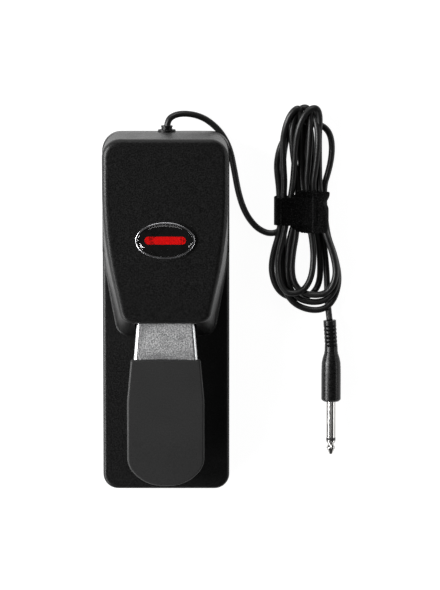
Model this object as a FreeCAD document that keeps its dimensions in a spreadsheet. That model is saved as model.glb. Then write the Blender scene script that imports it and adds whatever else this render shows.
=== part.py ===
import FreeCAD, Part
import math
import os
import re
import Sketcher
from FreeCAD import Placement, Rotation, Vector

# Sustain pedal for an electronic keyboard: a low base box, a tapering cover over its rear half, a
# chromed lever with a rubber treadle coming out of the cover's front, and a lead that ends in a
# 6.35 mm plug. Millimetres. +Z is up, +Y runs to the rear, where the lead leaves, and -Y to the toe.
# The origin is the centre of the base's footprint, on the floor.

DIMENSIONS = {
    # base
    "base_length": 238, "base_width": 84, "base_height": 19, "front_corner": 10, "rear_corner": 12,
    "base_edge": 2.5, "wall": 2.5, "deck": 2.5, "flush_from": 38,
    "sole_inset": 5, "sole_height": 4.2, "plate_gap": 0.3, "plate_height": 2,
    "groove_half": 1, "groove_inset": 12,
    # cover: a rim on the deck, then walls that lean in to a sloping crown
    "rim_width": 83.4, "rim_height": 3, "rim_rear": 119, "rim_front": -16.1,
    "rim_bend_y": 36, "rim_bend": 200, "rim_front_x": 32.1, "rim_front_corner": 10, "rim_ledge": 0.8,
    "rim_slope": 0.6,
    "crown_width": 82.6, "crown_rear": 117.6, "crown_front": -3, "crown_rear_height": 57,
    "crown_front_height": 50.5, "crown_bend_y": 56, "crown_bend": 300, "crown_front_x": 28.4,
    "crown_front_corner": 8, "crown_edge": 4,
    "mouth_width": 40.6, "mouth_sill": 24, "mouth_top": 47.4, "mouth_corner": 2, "mouth_reach": 30,
    "front_boss_gap": 0.4, "rear_boss_gap": 2,
    # badge
    "badge_y": 51.2, "badge_long": 39, "badge_short": 24.2, "bezel_width": 1.1, "bezel_height": 1.5,
    "bezel_edge": 0.4, "badge_plate_height": 0.6, "badge_dome_height": 2.6,
    "mark_length": 27, "mark_width": 5.2, "mark_depth": 0.25,
    # pivot
    "pivot_y": 48, "pivot_z": 33, "pin_radius": 2.5, "pin_length": 46, "bush_clearance": 0.05,
    "bush_radius": 3.5, "bush_flange_radius": 4.8, "bush_flange": 0.8, "bracket_half": 21,
    "bracket_sheet": 2, "bracket_length": 20, "bracket_top": 40, "clip_radius": 4.5, "clip_sheet": 0.8,
    # lever
    "lever_top": 44, "lever_sheet": 2.5, "lever_depth": 9, "lever_edge": 2.4, "lever_wall": 2,
    "lever_tail_y": 74, "lever_bend_y": -84, "lever_bend": 90, "lever_nose_drop": 4.6,
    "lever_tail_half": 18, "lever_mouth_half": 19, "lever_mouth_y": -5, "lever_grip_half": 20.9,
    "lever_grip_y": -28, "lever_sole_depth": 6.4, "ear_radius": 6, "lever_toe_inset": 2.2,
    # treadle
    "tread_rear_y": -28.8, "tread_rear_half": 22.9, "tread_wide_y": -56, "tread_half": 25.4,
    "tread_nose_y": -113.2, "tread_skin": 2.8, "tread_depth": 8.2, "tread_edge": 1.4, "tread_wide_bend": 70,
    "tread_rear_bow": 0.5, "tread_fit": 0.1, "toe_depth": 19.4, "tread_rear_corner": 1.5,
    # return spring, stops and switch
    "spring_y": 24, "spring_radius": 5.5, "spring_wire": 0.75, "spring_turns": 6.5, "seat_radius": 8,
    "seat_height": 4, "seat_floor": 1.5, "post_radius": 3, "rest_post_x": 17, "rest_post_y": 70,
    "bumper_height": 3, "stop_y": 6, "stop_length": 8, "stop_half": 18, "stop_top": 30.8,
    "board_half": 13, "board_front_y": 58, "board_rear_y": 88, "board_z": 28, "board_sheet": 1.6,
    "board_screw_x": 10, "board_screw_y": 80, "board_rest_y": 60.5,
    "switch_y": 64, "switch_length": 20, "switch_width": 6.4, "switch_height": 9.6,
    "plunger_radius": 1.2, "plunger_gap": 0.1, "plunger_root": 3.2, "plunger_well": 3.5,
    "leg_pitch": 7, "leg_width": 0.8, "leg_sheet": 0.4, "pin_leg": 3.2, "leg_hole_radius": 0.8,
    "wire_pad_x": 3, "wire_pad_inset": 2.5,
    # strain relief and lead
    "gland_x": 0.6, "gland_z": 10.5, "gland_foot_radius": 5.85, "gland_foot": 1.5, "gland_neck_radius": 3.6,
    "gland_neck": 2.6, "gland_rim_radius": 3.9, "gland_rim": 0.9, "gland_tail": 8, "gland_bore_radius": 2,
    "gland_collar_radius": 4.2, "inner_lead": 10,
    "lead_radius": 2, "wire_radius": 0.7, "wire_hole_y": 96, "wire_hole_radius": 4,
    # hank and its strap
    "hank_height": 13.4, "waist_left": 74.4, "waist_right": 106.2, "waist_low": 1.4,
    "waist_front": 49.6, "waist_length": 32, "strap_wrap": 1.6, "strap_edge": 1.2,
    "strap_left_front": 57.2, "strap_left_rear": 75.6, "strap_right_front": 51.8, "strap_right_rear": 79.4,
    # plug
    "plug_x": 109.9, "plug_z": 6.5, "plug_boot_radius": 4.25, "plug_handle_radius": 6.5,
    "plug_shaft_radius": 3.175, "plug_boot_y": -7.2, "plug_cone_y": -24.8, "plug_barrel_y": -35.5,
    "plug_face_y": -61.7, "plug_ring_y": -86.2, "plug_ring": 2, "plug_tip_y": -97.6, "plug_lean": 3.5,
    "plug_core_radius": 1.2, "plug_waist_radius": 1.9, "boot_slot": 1.36,
    "boot_window": 1.6, "boot_window_half": 3.1, "boot_notch": 0.35, "boot_notch_half": 1.5,
    "plug_groove": 0.25,
    # fasteners
    "screw_radius": 1.45, "screw_hole_radius": 1.5, "screw_head_radius": 2.8, "screw_head": 1.8,
    "screw_slot": 0.7, "boss_radius": 3.6, "clear_hole_radius": 1.8,
    "bottom_screw_length": 9, "bottom_pilot": 8.5, "cover_screw_length": 12, "cover_pilot": 14,
    "bracket_screw_length": 7, "board_screw_length": 6, "board_pilot": 7,
}

# The lead's route: out of the strain relief, round the base's rear corner and along the floor to the
# hank, and then from the hank to the plug.
LEAD_ROUTE = [
    (0.6, 119.05, 10.5), (0.6, 126.2, 10.5), (6.0, 130.3, 9.2), (14.6, 130.8, 6.8), (23.6, 128.4, 4.2),
    (31.0, 123.4, 2.4), (37.2, 116.8, 2.0), (42.4, 107.0, 2.0), (45.4, 92.0, 2.0), (48.0, 77.2, 2.0),
    (52.3, 64.4, 2.0), (58.9, 55.2, 2.0), (65.6, 51.0, 2.0), (70.9, 50.3, 2.0)]
TAIL_ROUTE = [(108.53, -2.75, 6.5), (108.8, -7.2, 6.5)]

BOTTOM_SCREWS = [(-29, -106), (29, -106), (-29, -4), (29, -4), (-29, 94), (29, 94)]
COVER_SCREWS_FRONT = [(-26, 12), (26, 12)]
COVER_SCREWS_REAR = [(-32, 104), (32, 104)]
BRACKET_SCREWS = [(-12, 42), (12, 42), (-12, 54), (12, 54)]
BOARD_SCREWS = [("-board_screw_x", "board_screw_y"), ("board_screw_x", "board_screw_y")]
SIDEWAYS = (Vector(0, 1, 0), 90)

document = FreeCAD.newDocument("sustain_pedal")
sheet = document.addObject("Spreadsheet::Sheet", "Dims")
nodes = {}


def fill_sheet():
    for row, (alias, number) in enumerate(DIMENSIONS.items(), start=1):
        sheet.set("A%d" % row, str(number))
        sheet.setAlias("A%d" % row, alias)
    document.recompute()


def bound(text):
    """The expression with every alias in it pointed at the sheet."""
    return re.sub(r"[a-z_]+", lambda word: "Dims." + word.group() if word.group() in DIMENSIONS
                  else word.group(), str(text))


def value(text):
    return float(sheet.evalExpression(str(text)))


# ---------------------------------------------------------------- building blocks

def body_named(name):
    body = document.addObject("PartDesign::Body", name)
    body.Label = name
    return body


def sketch_on(body, role, offset="0"):
    sketch = body.newObject("Sketcher::SketchObject", body.Name + "_sketch")
    plane = next(item for item in body.Origin.OriginFeatures if item.Role == role)
    sketch.AttachmentSupport = [(plane, "")]
    sketch.MapMode = "FlatFace"
    sketch.setExpression(".AttachmentOffset.Base.z", bound(offset))
    return sketch


def pin_point(sketch, geometry, position, across, along):
    for kind, text in (("DistanceX", across), ("DistanceY", along)):
        row = sketch.addConstraint(Sketcher.Constraint(kind, -1, 1, geometry, position, value(text)))
        sketch.setExpression("Constraints[%d]" % row, bound(text))


def circle(sketch, across, along, radius):
    centre = Vector(value(across), value(along), 0)
    ring = sketch.addGeometry(Part.Circle(centre, Vector(0, 0, 1), value(radius)))
    row = sketch.addConstraint(Sketcher.Constraint("Radius", ring, value(radius)))
    sketch.setExpression("Constraints[%d]" % row, bound(radius))
    pin_point(sketch, ring, 3, across, along)


def outline(sketch, corners):
    """A closed outline of straight sides. Each corner is (across, along, radius or None)."""
    points = [Vector(value(across), value(along), 0) for across, along, _ in corners]
    count = len(points)
    arcs = []
    for here in range(count):
        point = points[here]
        if corners[here][2] is None:
            arcs.append((None, point, point))
            continue
        back = (points[here - 1] - point).normalize()
        ahead = (points[(here + 1) % count] - point).normalize()
        half_angle = back.getAngle(ahead) / 2
        radius = value(corners[here][2])
        start = point + back * (radius / math.tan(half_angle))
        end = point + ahead * (radius / math.tan(half_angle))
        bisector = (back + ahead).normalize()
        middle = point + bisector * (radius / math.sin(half_angle) - radius)
        arcs.append((Part.Arc(start, middle, end), start, end))
    sides = []
    for here in range(count):
        side = Part.LineSegment(arcs[here][2], arcs[(here + 1) % count][1])
        sides.append(sketch.addGeometry(side))
    for here in range(count):
        before, after = sides[here - 1], sides[here]
        arc, start, _ = arcs[here]
        if arc is None:
            sketch.addConstraint(Sketcher.Constraint("Coincident", before, 2, after, 1))
            pin_point(sketch, after, 1, *corners[here][:2])
            continue
        curve = sketch.addGeometry(arc)
        first = 1 if (sketch.getPoint(curve, 1) - start).Length < 1e-6 else 2
        sketch.addConstraint(Sketcher.Constraint("Tangent", before, 2, curve, first))
        sketch.addConstraint(Sketcher.Constraint("Tangent", curve, 3 - first, after, 1))
        row = sketch.addConstraint(Sketcher.Constraint("Radius", curve, value(corners[here][2])))
        sketch.setExpression("Constraints[%d]" % row, bound(corners[here][2]))
        corner = sketch.addGeometry(Part.Point(points[here]), True)
        sketch.addConstraint(Sketcher.Constraint("PointOnObject", corner, 1, before))
        sketch.addConstraint(Sketcher.Constraint("PointOnObject", corner, 1, after))
        pin_point(sketch, corner, 1, *corners[here][:2])


def both_sides(right_side):
    """An outline from its right half, listed from the front to the rear."""
    left_side = [("-(%s)" % across, along, radius) for across, along, radius in reversed(right_side)]
    return right_side + left_side


def rectangle(sketch, left, right, low, high, radius=None):
    outline(sketch, [(left, low, radius), (right, low, radius),
                     (right, high, radius), (left, high, radius)])


def pad(body, sketch, length, symmetric=False, downward=False):
    feature = body.newObject("PartDesign::Pad", body.Name + "_pad")
    feature.Profile = sketch
    feature.setExpression("Length", bound(length))
    if symmetric:
        feature.SideType = "Symmetric"
    feature.Reversed = downward
    document.recompute()
    return feature


def pocket(body, sketch, length=None, reverse=False, symmetric=False):
    """A cut along the sketch's normal: against it, or with it when reversed."""
    before = body.Shape.Volume
    feature = body.newObject("PartDesign::Pocket", body.Name + "_pocket")
    feature.Profile = sketch
    if length is None:
        feature.Type = "ThroughAll"
    else:
        feature.setExpression("Length", bound(length))
    if symmetric:
        feature.SideType = "Symmetric"
    feature.Reversed = reverse
    document.recompute()
    if body.Shape.Volume > before - 0.01:
        raise RuntimeError(feature.Name + " cuts nothing")
    return feature


def revolve(body, sketch, axis="V_Axis"):
    feature = body.newObject("PartDesign::Revolution", body.Name + "_turned")
    feature.Profile = sketch
    feature.ReferenceAxis = (sketch, [axis])
    feature.Angle = 360
    document.recompute()
    return feature


def fillet(body, chosen, radius):
    """Round the edges of the body for which chosen(edge) holds."""
    base = body.Tip
    names = ["Edge%d" % row for row, edge in enumerate(base.Shape.Edges, start=1) if chosen(edge)]
    if not names:
        raise RuntimeError(body.Name + " has no such edge")
    feature = body.newObject("PartDesign::Fillet", body.Name + "_fillet")
    feature.Base = (base, names)
    feature.setExpression("Radius", bound(radius))
    document.recompute()
    return feature


def flat_at(height):
    """Picks edges that lie wholly at this height."""
    return lambda edge: max(abs(edge.BoundBox.ZMin - height), abs(edge.BoundBox.ZMax - height)) < 1e-3


def place(item, across, along, height, axis=Vector(0, 0, 1), angle=0):
    item.Placement = Placement(Vector(), Rotation(axis, angle))
    item.setExpression(".Placement.Base.x", bound(across))
    item.setExpression(".Placement.Base.y", bound(along))
    item.setExpression(".Placement.Base.z", bound(height))


def cylinder(name, radius, length, across, along, height, axis=Vector(0, 0, 1), angle=0):
    item = document.addObject("Part::Cylinder", name)
    item.setExpression("Radius", bound(radius))
    item.setExpression("Height", bound(length))
    place(item, across, along, height, axis, angle)
    return item


def box(name, sizes, across, along, height, axis=Vector(0, 0, 1), angle=0):
    item = document.addObject("Part::Box", name)
    for side, size in zip(("Length", "Width", "Height"), sizes):
        item.setExpression(side, bound(size))
    place(item, across, along, height, axis, angle)
    return item


def cut(name, base, tool):
    item = document.addObject("Part::Cut", name)
    item.Base = base
    item.Tool = tool
    return item


def fuse(name, shapes):
    item = document.addObject("Part::MultiFuse", name)
    item.Shapes = shapes
    return item


def group(name, shapes):
    item = document.addObject("Part::Compound", name)
    item.Links = shapes
    return item


def node(name, item):
    item.Label = name
    nodes[name] = item
    return item


def screw(name, across, along, seat, length, upward=True):
    """A pan-head screw whose head bears on the height `seat`, its shank going up or down from it."""
    sign = "+" if upward else "-"
    flip = (Vector(1, 0, 0), 0 if upward else 180)
    shank = cylinder(name + "_shank", "screw_radius", length, across, along, seat, *flip)
    head_from = "%s - screw_head" % seat if upward else "%s + screw_head" % seat
    head = cylinder(name + "_head", "screw_head_radius", "screw_head", across, along, head_from, *flip)
    whole = fuse(name + "_whole", [head, shank])
    slots = []
    for turn, (wide, deep) in enumerate((("screw_head_radius * 1.2", "screw_slot"),
                                         ("screw_slot", "screw_head_radius * 1.2"))):
        low = head_from if upward else "%s - screw_slot" % head_from
        slots.append(box("%s_slot_%d" % (name, turn), (wide, deep, "screw_slot"),
                         "%s - (%s) / 2" % (across, wide), "%s - (%s) / 2" % (along, deep), low))
    cross = fuse(name + "_cross", slots)
    return cut(name, whole, cross)


def screws(name, spots, seat, length, upward=True):
    made = [screw("%s_%d" % (name, row), across, along, seat, length, upward)
            for row, (across, along) in enumerate(spots)]
    return node(name, group(name, made))


# ---------------------------------------------------------------- base

def base_plan(inset="0"):
    return both_sides([
        ("base_width / 2 - (%s)" % inset, "-base_length / 2 + (%s)" % inset, "front_corner - (%s)" % inset),
        ("base_width / 2 - (%s)" % inset, "base_length / 2 - (%s)" % inset, "rear_corner - (%s)" % inset)])


def make_base_shell():
    body = body_named("base_shell")
    plan = sketch_on(body, "XY_Plane", "sole_height")
    outline(plan, base_plan())
    pad(body, plan, "base_height - sole_height")
    fillet(body, flat_at(value("base_height")), "base_edge")
    # under the cover the walls go straight up, flush with it
    flush = sketch_on(body, "XY_Plane", "base_height - base_edge")
    outline(flush, both_sides([
        ("base_width / 2", "flush_from", "base_edge"),
        ("base_width / 2", "base_length / 2", "rear_corner")]))
    pad(body, flush, "base_edge")

    hollow = sketch_on(body, "XY_Plane", "sole_height")
    outline(hollow, base_plan("wall"))
    pocket(body, hollow, "base_height - deck - sole_height", reverse=True)

    bosses = sketch_on(body, "XY_Plane", "base_height - deck")
    for across, along in BOTTOM_SCREWS:
        circle(bosses, across, along, "boss_radius")
    pad(body, bosses, "base_height - deck - sole_height - plate_height", downward=True)
    short_bosses = sketch_on(body, "XY_Plane", "base_height - deck")
    for across, along in BRACKET_SCREWS:
        circle(short_bosses, across, along, "boss_radius")
    pad(body, short_bosses, "boss_radius * 2", downward=True)

    posts = sketch_on(body, "XY_Plane", "base_height")
    for side in ("", "-"):
        circle(posts, side + "board_screw_x", "board_screw_y", "post_radius - 0.4")
        circle(posts, side + "board_screw_x", "board_rest_y", "post_radius - 1")
    pad(body, posts, "board_z - base_height")
    rests = sketch_on(body, "XY_Plane", "base_height")
    for side in ("", "-"):
        circle(rests, side + "rest_post_x", "rest_post_y", "post_radius")
    pad(body, rests, "lever_top - lever_depth - bumper_height - base_height")

    pilots = sketch_on(body, "XY_Plane", "sole_height + plate_height")
    for across, along in BOTTOM_SCREWS:
        circle(pilots, across, along, "screw_hole_radius")
    pocket(body, pilots, "bottom_pilot", reverse=True)
    drilled = sketch_on(body, "XY_Plane", "base_height")
    for across, along in BRACKET_SCREWS:
        circle(drilled, across, along, "screw_hole_radius")
    for across, along in COVER_SCREWS_FRONT + COVER_SCREWS_REAR:
        circle(drilled, across, along, "clear_hole_radius")
    circle(drilled, "0", "wire_hole_y", "wire_hole_radius")
    pocket(body, drilled)
    tapped = sketch_on(body, "XY_Plane", "board_z")
    for across, along in BOARD_SCREWS:
        circle(tapped, across, along, "screw_hole_radius")
    pocket(body, tapped, "board_pilot")

    outlet = sketch_on(body, "XZ_Plane")
    circle(outlet, "gland_x", "gland_z", "gland_neck_radius")
    pocket(body, outlet, reverse=False)
    return node("base_shell", body)


def make_bottom():
    plate = body_named("bottom_plate")
    plan = sketch_on(plate, "XY_Plane", "sole_height")
    outline(plan, base_plan("wall + plate_gap"))
    for across, along in BOTTOM_SCREWS:
        circle(plan, across, along, "clear_hole_radius")
    pad(plate, plan, "plate_height")
    node("bottom_plate", plate)

    sole = body_named("rubber_sole")
    plan = sketch_on(sole, "XY_Plane")
    outline(plan, base_plan("sole_inset"))
    for across, along in BOTTOM_SCREWS:
        circle(plan, across, along, "screw_head_radius + 1")
    pad(sole, plan, "sole_height")
    grooves = sketch_on(sole, "XY_Plane")
    for along in range(-80, 81, 20):
        rectangle(grooves, "-base_width / 2 + groove_inset", "base_width / 2 - groove_inset",
                  "%d - groove_half" % along, "%d + groove_half" % along)
    pocket(sole, grooves, "sole_height / 3", reverse=True)
    node("rubber_sole", sole)
    screws("bottom_screws", BOTTOM_SCREWS, "sole_height", "bottom_screw_length")


# ---------------------------------------------------------------- cover

def rim_plan(inset="0", rear_inset=None):
    rear_inset = inset if rear_inset is None else rear_inset
    return both_sides([
        ("rim_front_x - (%s)" % inset, "rim_front + (%s)" % inset, "rim_front_corner - (%s)" % inset),
        ("rim_width / 2 - (%s)" % inset, "rim_bend_y", "rim_bend"),
        ("rim_width / 2 - (%s)" % inset, "rim_rear - (%s)" % rear_inset, "rear_corner - (%s)" % inset)])


def crown_plan(inset="0"):
    """The crown's outline in its own sloping plane, measured from where the plane meets y = 0."""
    return both_sides([
        ("crown_front_x - (%s)" % inset, "crown_front + (%s)" % inset, "crown_front_corner - (%s)" % inset),
        ("crown_width / 2 - (%s)" % inset, "crown_bend_y", "crown_bend"),
        ("crown_width / 2 - (%s)" % inset, "crown_rear - (%s)" % inset, "rear_corner - (%s)" % inset)])


CROWN_RISE = "(crown_rear_height - crown_front_height) / (crown_rear - crown_front)"
CROWN_AT_ZERO = "(crown_front_height - crown_front * %s)" % CROWN_RISE


def crown_height(along):
    return "(%s + (%s) * %s)" % (CROWN_AT_ZERO, along, CROWN_RISE)


def crown_sketch(body, lowered="0"):
    sketch = sketch_on(body, "XY_Plane", "%s - (%s)" % (CROWN_AT_ZERO, lowered))
    sketch.setExpression(".AttachmentOffset.Rotation.Axis.x", "1")
    sketch.setExpression(".AttachmentOffset.Rotation.Axis.z", "0")
    sketch.setExpression(".AttachmentOffset.Rotation.Angle", "atan(%s)" % bound(CROWN_RISE))
    return sketch


def loft(body, kind, low, high):
    feature = body.newObject(kind, body.Name + "_loft")
    feature.Profile = low
    feature.Sections = [high]
    feature.Ruled = True
    document.recompute()
    return feature


def make_top_cover():
    body = body_named("top_cover")
    rim = sketch_on(body, "XY_Plane", "base_height")
    outline(rim, rim_plan())
    pad(body, rim, "rim_height - rim_slope")
    # the rim's top slopes at the sides and front; the rear is one wall down to the base
    slope_foot = sketch_on(body, "XY_Plane", "base_height + rim_height - rim_slope")
    outline(slope_foot, rim_plan())
    slope_top = sketch_on(body, "XY_Plane", "base_height + rim_height")
    outline(slope_top, rim_plan("rim_ledge", "0"))
    loft(body, "PartDesign::AdditiveLoft", slope_foot, slope_top)
    low = sketch_on(body, "XY_Plane", "base_height + rim_height")
    outline(low, rim_plan("rim_ledge", "0"))
    high = crown_sketch(body)
    outline(high, crown_plan())
    loft(body, "PartDesign::AdditiveLoft", low, high)

    def on_crown(edge):
        heights = [vertex.Z - value(crown_height(vertex.Y)) for vertex in edge.Vertexes]
        return max(abs(gap) for gap in heights) < 0.2
    fillet(body, on_crown, "crown_edge")

    below = sketch_on(body, "XY_Plane", "base_height")
    outline(below, rim_plan("rim_ledge + wall"))
    above = crown_sketch(body, "wall")
    outline(above, crown_plan("wall"))
    before = body.Shape.Volume
    loft(body, "PartDesign::SubtractiveLoft", below, above)
    if body.Shape.Volume > before * 0.5:
        raise RuntimeError("the cover is not hollow")

    for spots, top in ((COVER_SCREWS_FRONT, "crown_front_height - front_boss_gap"),
                       (COVER_SCREWS_REAR, "crown_rear_height - rear_boss_gap")):
        posts = sketch_on(body, "XY_Plane", "base_height")
        for across, along in spots:
            circle(posts, across, along, "boss_radius")
        pad(body, posts, "%s - base_height" % top)
    pilots = sketch_on(body, "XY_Plane", "base_height")
    for across, along in COVER_SCREWS_FRONT + COVER_SCREWS_REAR:
        circle(pilots, across, along, "screw_hole_radius")
    pocket(body, pilots, "cover_pilot", reverse=True)

    mouth = sketch_on(body, "XZ_Plane")
    rectangle(mouth, "-mouth_width / 2", "mouth_width / 2", "mouth_sill", "mouth_top", "mouth_corner")
    pocket(body, mouth, "mouth_reach", reverse=True)
    node("top_cover", body)
    screws("cover_screws", COVER_SCREWS_FRONT + COVER_SCREWS_REAR, "base_height - deck",
           "cover_screw_length")


def oval(name, long_side, short_side, height, low="0"):
    """An upright oval block, its sizes the whole length and width."""
    ring = document.addObject("Part::Ellipse", name + "_ring")
    ring.setExpression("MajorRadius", bound("(%s) / 2" % long_side))
    ring.setExpression("MinorRadius", bound("(%s) / 2" % short_side))
    ring.setExpression(".Placement.Base.z", bound(low))
    block = document.addObject("Part::Extrusion", name)
    block.Base = ring
    block.DirMode = "Normal"
    block.setExpression("LengthFwd", bound(height))
    block.Solid = True
    return block


def on_crown_top(item):
    """Set a badge piece down on the sloping crown."""
    slope = math.degrees(math.atan(value(CROWN_RISE)))
    item.Placement = Placement(Vector(), Rotation(Vector(1, 0, 0), slope))
    item.setExpression(".Placement.Base.y", bound("badge_y"))
    item.setExpression(".Placement.Base.z", bound(crown_height("badge_y")))
    return item


def make_badge():
    inner_long, inner_short = "badge_long - 2 * bezel_width", "badge_short - 2 * bezel_width"
    outer = oval("bezel_outer", "badge_long", "badge_short", "bezel_height")
    document.recompute()
    rounded = document.addObject("Part::Fillet", "bezel_rounded")
    rounded.Base = outer
    top_edges = [row for row, edge in enumerate(outer.Shape.Edges, start=1)
                 if flat_at(value("bezel_height"))(edge)]
    rounded.Edges = [(row, value("bezel_edge"), value("bezel_edge")) for row in top_edges]
    bezel = cut("badge_bezel", rounded, oval("bezel_inner", inner_long, inner_short, "bezel_height"))
    node("badge_bezel", on_crown_top(bezel))

    mark = body_named("badge_mark")
    plan = sketch_on(mark, "XY_Plane", "badge_plate_height - mark_depth")
    rectangle(plan, "-mark_length / 2", "mark_length / 2", "-mark_width / 2", "mark_width / 2",
              "mark_width / 2 - 0.01")
    pad(mark, plan, "mark_depth")
    plate_block = oval("badge_plate_block", inner_long, inner_short, "badge_plate_height")
    plate = cut("badge_plate", plate_block, mark)
    node("badge_plate", on_crown_top(plate))
    inlay = document.addObject("Part::Feature", "badge_inlay")
    inlay.Shape = mark.Shape
    node("badge_mark", on_crown_top(inlay))

    dome = document.addObject("Part::Ellipsoid", "badge_dome_cap")
    dome.setExpression("Radius1", bound("badge_dome_height"))
    dome.setExpression("Radius2", bound("(%s) / 2 - 0.02" % inner_long))
    dome.setExpression("Radius3", bound("(%s) / 2 - 0.02" % inner_short))
    dome.Angle1 = 0
    dome.setExpression(".Placement.Base.z", bound("badge_plate_height"))
    node("badge_dome", on_crown_top(group("badge_dome", [dome])))


# ---------------------------------------------------------------- lever and treadle

NEAR_THE_TOP = 1.2  # how far below the top an upper edge may lie
TOE_SHOULDER = 0.66  # where the toe's half-oval leaves the sides, as a share of its depth
TOE_BEND = 1.01  # the toe's bend, as a share of its half width
TOE_SHOULDER_BEND = 0.8  # and the bend into the sides, as a share of its depth


def nose(half, tip_y, depth):
    """The four corners of a half-oval toe: `half` wide each side, `depth` long, ending at tip_y."""
    shoulder = "(%s) + (%s) * %g" % (tip_y, depth, TOE_SHOULDER)
    return [("(%s) / 2" % half, tip_y, "(%s) * %g" % (half, TOE_BEND)),
            (half, shoulder, "(%s) * %g" % (depth, TOE_SHOULDER_BEND))]


def lever_plan(grow="0"):
    """The lever's outline seen from above, from the toe to the tail."""
    toe = nose("tread_half - lever_toe_inset + (%s)" % grow, "tread_nose_y + lever_toe_inset - (%s)" % grow,
               "toe_depth - lever_toe_inset")
    return both_sides(toe + [
        ("tread_half - lever_toe_inset + (%s)" % grow, "tread_wide_y", "tread_wide_bend"),
        ("lever_grip_half + (%s)" % grow, "lever_grip_y", "tread_wide_bend"),
        ("lever_mouth_half + (%s)" % grow, "lever_mouth_y", "tread_wide_bend"),
        ("lever_tail_half + (%s)" % grow, "pivot_y - 12", "tread_wide_bend"),
        ("lever_tail_half + (%s)" % grow, "lever_tail_y", "lever_edge + 0.2")])


def middle_of(edge):
    return edge.valueAt((edge.FirstParameter + edge.LastParameter) / 2)


def toe_drop(along):
    """How far the lever's top has dipped by this y."""
    past_bend = max(0.0, value("lever_bend_y") - along)
    return past_bend * value("lever_nose_drop / (lever_bend_y - tread_nose_y)")


def arched(body, rise, deep_rear, deep_front, rear_y, front_y):
    """The side view of lever or treadle, drawn full width: level, then dipping to the toe."""
    side = sketch_on(body, "YZ_Plane")
    top = "lever_top + (%s)" % rise
    drop = "lever_nose_drop * ((lever_bend_y) - (%s)) / (lever_bend_y - tread_nose_y)" % front_y
    step = [("tread_rear_y", "%s - (%s)" % (top, depth), None) for depth in (deep_front, deep_rear)]
    outline(side, [
        (front_y, "%s - %s" % (top, drop), None),
        (front_y, "%s - %s - (%s)" % (top, drop, deep_front), None),
        ("lever_bend_y", "%s - (%s)" % (top, deep_front), "lever_bend - (%s)" % deep_front)]
        + (step if deep_rear != deep_front else []) + [
        (rear_y, "%s - (%s)" % (top, deep_rear), None),
        (rear_y, top, None),
        ("lever_bend_y", top, "lever_bend")])
    pad(body, side, "base_width", symmetric=True)


def trim_to(body, corners):
    """Keep what lies inside the plan outline."""
    frame = sketch_on(body, "XY_Plane", "lever_top + 20")
    rectangle(frame, "-base_width", "base_width", "-base_length", "base_length")
    outline(frame, corners)
    pocket(body, frame)


def make_lever():
    body = body_named("lever_pressing")
    arched(body, "0", "lever_depth", "lever_sole_depth", "lever_tail_y + 4", "tread_nose_y - 2")
    trim_to(body, lever_plan())

    def on_top(edge):
        middle = middle_of(edge)
        high = middle.z > value("lever_top") - toe_drop(middle.y) - NEAR_THE_TOP
        at_tail = abs(middle.y - value("lever_tail_y")) < 0.05 and middle.z > value("lever_top") - 0.5
        return (high and abs(middle.x) > 0.1) or at_tail
    fillet(body, on_top, "lever_edge")

    ears = sketch_on(body, "YZ_Plane", "lever_tail_half - lever_wall")
    circle(ears, "pivot_y", "pivot_z", "ear_radius")
    pad(body, ears, "lever_wall")
    ears = sketch_on(body, "YZ_Plane", "-lever_tail_half")
    circle(ears, "pivot_y", "pivot_z", "ear_radius")
    pad(body, ears, "lever_wall")
    bores = sketch_on(body, "YZ_Plane")
    circle(bores, "pivot_y", "pivot_z", "bush_radius")
    pocket(body, bores, "base_width", symmetric=True)

    inside = body_named("lever_inside")
    arched(inside, "-lever_sheet", "lever_depth", "lever_depth", "lever_tail_y + 4", "tread_nose_y - 2")
    trim_to(inside, lever_plan(grow="-lever_wall"))
    node("pedal_lever", cut("pedal_lever", body, inside))


def treadle_plan():
    toe = nose("tread_half", "tread_nose_y", "toe_depth")
    rear = [("tread_half", "tread_wide_y", "tread_wide_bend"),
            ("tread_rear_half", "tread_rear_y", "tread_rear_corner")]
    left = [("-(%s)" % across, along, radius) for across, along, radius in reversed(toe + rear)]
    bow = [("0", "tread_rear_y + tread_rear_bow", "tread_wide_bend * 4")]
    return toe + rear + bow + left


def make_treadle():
    tread = body_named("treadle_block")
    arched(tread, "tread_skin", "tread_depth", "tread_depth", "tread_rear_y + 3", "tread_nose_y - 2")
    trim_to(tread, treadle_plan())

    def on_top(edge):
        middle = middle_of(edge)
        across = abs(edge.Vertexes[0].X - edge.Vertexes[-1].X)
        between_ends = value("tread_nose_y") + 1 < middle.y < value("tread_rear_y") - 1
        straight_over = across > value("tread_half * 1.6") and between_ends
        crest = value("lever_top + tread_skin") - toe_drop(middle.y)
        return middle.z > crest - NEAR_THE_TOP and not straight_over
    fillet(tread, on_top, "tread_edge")

    form = body_named("treadle_cavity")
    arched(form, "0", "lever_depth", "lever_depth", "tread_rear_y + 8", "tread_nose_y - 2")
    trim_to(form, lever_plan(grow="tread_fit"))
    node("treadle_pad", cut("treadle_pad", tread, form))


def make_bushes():
    made = []
    for side, sign in (("right", 1), ("left", -1)):
        inner = "lever_tail_half - lever_wall" if sign > 0 else "-lever_tail_half + lever_wall"
        flange_from = "%s - bush_flange" % inner if sign > 0 else "%s + bush_flange" % inner
        turned = (Vector(0, 1, 0), 90 * sign)
        sleeve = cylinder("bush_sleeve_" + side, "bush_radius", "lever_wall", inner,
                          "pivot_y", "pivot_z", *turned)
        flange = cylinder("bush_flange_" + side, "bush_flange_radius", "bush_flange", flange_from,
                          "pivot_y", "pivot_z", *turned)
        bore = cylinder("bush_bore_" + side, "pin_radius + bush_clearance", "lever_tail_half * 2",
                        "-lever_tail_half * %d" % sign, "pivot_y", "pivot_z", *turned)
        made.append(cut("bush_" + side, fuse("bush_whole_" + side, [sleeve, flange]), bore))
    node("lever_bushes", group("lever_bushes", made))


# ---------------------------------------------------------------- pivot

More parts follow.
